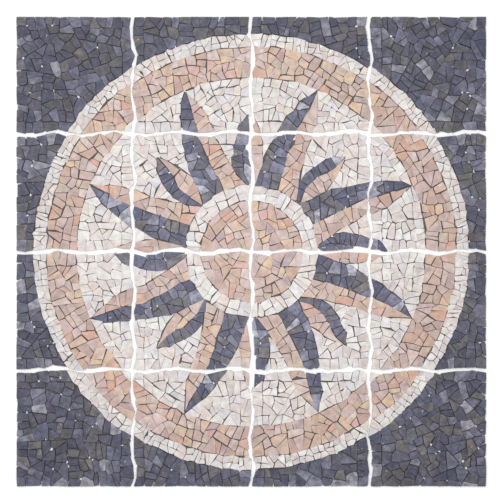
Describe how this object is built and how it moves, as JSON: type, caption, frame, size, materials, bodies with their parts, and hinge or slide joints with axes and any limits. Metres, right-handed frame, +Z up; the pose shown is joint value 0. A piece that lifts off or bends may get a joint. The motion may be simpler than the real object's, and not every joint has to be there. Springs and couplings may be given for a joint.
{
  "type": "stone mosaic medallion panel",
  "caption": "Flat square mosaic medallion of broken marble on net-backed mats: a two-tone sun inside round bands on a dark ground, with wavy gaps between the mats.",
  "frame": {"origin": "middle of the panel on the surface that the nets lie on", "axes": "+Z up out of the stone faces, +Y towards the top of the picture, +X to the right of the picture"},
  "size_m": [1.2326, 1.2326, 0.0096],
  "materials": {
    "dark_stone": "tumbled blue-grey and taupe marble, matt",
    "white_stone": "off-white marble with faint veins, split faces, matt",
    "pink_stone": "pink, salmon and ochre marble, matt",
    "net": "white glass-fibre net set in glue"
  },
  "bodies": {
    "root": {"net_row1_col1": "net", "dark_ground_row1_col1": "dark_stone", "white_marble_row1_col1": "white_stone", "pink_band_row1_col1": "pink_stone", "net_row1_col2": "net", "dark_ground_row1_col2": "dark_stone", "white_marble_row1_col2": "white_stone", "pink_band_row1_col2": "pink_stone", "net_row1_col3": "net", "dark_ground_row1_col3": "dark_stone", "white_marble_row1_col3": "white_stone", "pink_band_row1_col3": "pink_stone", "net_row1_col4": "net", "dark_ground_row1_col4": "dark_stone", "white_marble_row1_col4": "white_stone", "pink_band_row1_col4": "pink_stone", "net_row2_col1": "net", "dark_ground_row2_col1": "dark_stone", "white_marble_row2_col1": "white_stone", "pink_band_row2_col1": "pink_stone", "net_row2_col2": "net", "white_marble_row2_col2": "white_stone", "sun_disc_row2_col2": "pink_stone", "net_row2_col3": "net", "white_marble_row2_col3": "white_stone", "sun_disc_row2_col3": "pink_stone", "net_row2_col4": "net", "dark_ground_row2_col4": "dark_stone", "white_marble_row2_col4": "white_stone", "pink_band_row2_col4": "pink_stone", "net_row3_col1": "net", "dark_ground_row3_col1": "dark_stone", "white_marble_row3_col1": "white_stone", "pink_band_row3_col1": "pink_stone", "net_row3_col2": "net", "white_marble_row3_col2": "white_stone", "sun_disc_row3_col2": "pink_stone", "net_row3_col3": "net", "white_marble_row3_col3": "white_stone", "sun_disc_row3_col3": "pink_stone", "net_row3_col4": "net", "dark_ground_row3_col4": "dark_stone", "white_marble_row3_col4": "white_stone", "pink_band_row3_col4": "pink_stone", "net_row4_col1": "net", "dark_ground_row4_col1": "dark_stone", "white_marble_row4_col1": "white_stone", "pink_band_row4_col1": "pink_stone", "net_row4_col2": "net", "dark_ground_row4_col2": "dark_stone", "white_marble_row4_col2": "white_stone", "pink_band_row4_col2": "pink_stone", "net_row4_col3": "net", "dark_ground_row4_col3": "dark_stone", "white_marble_row4_col3": "white_stone", "pink_band_row4_col3": "pink_stone", "net_row4_col4": "net", "dark_ground_row4_col4": "dark_stone", "white_marble_row4_col4": "white_stone", "pink_band_row4_col4": "pink_stone"}
  },
  "joints": []
}
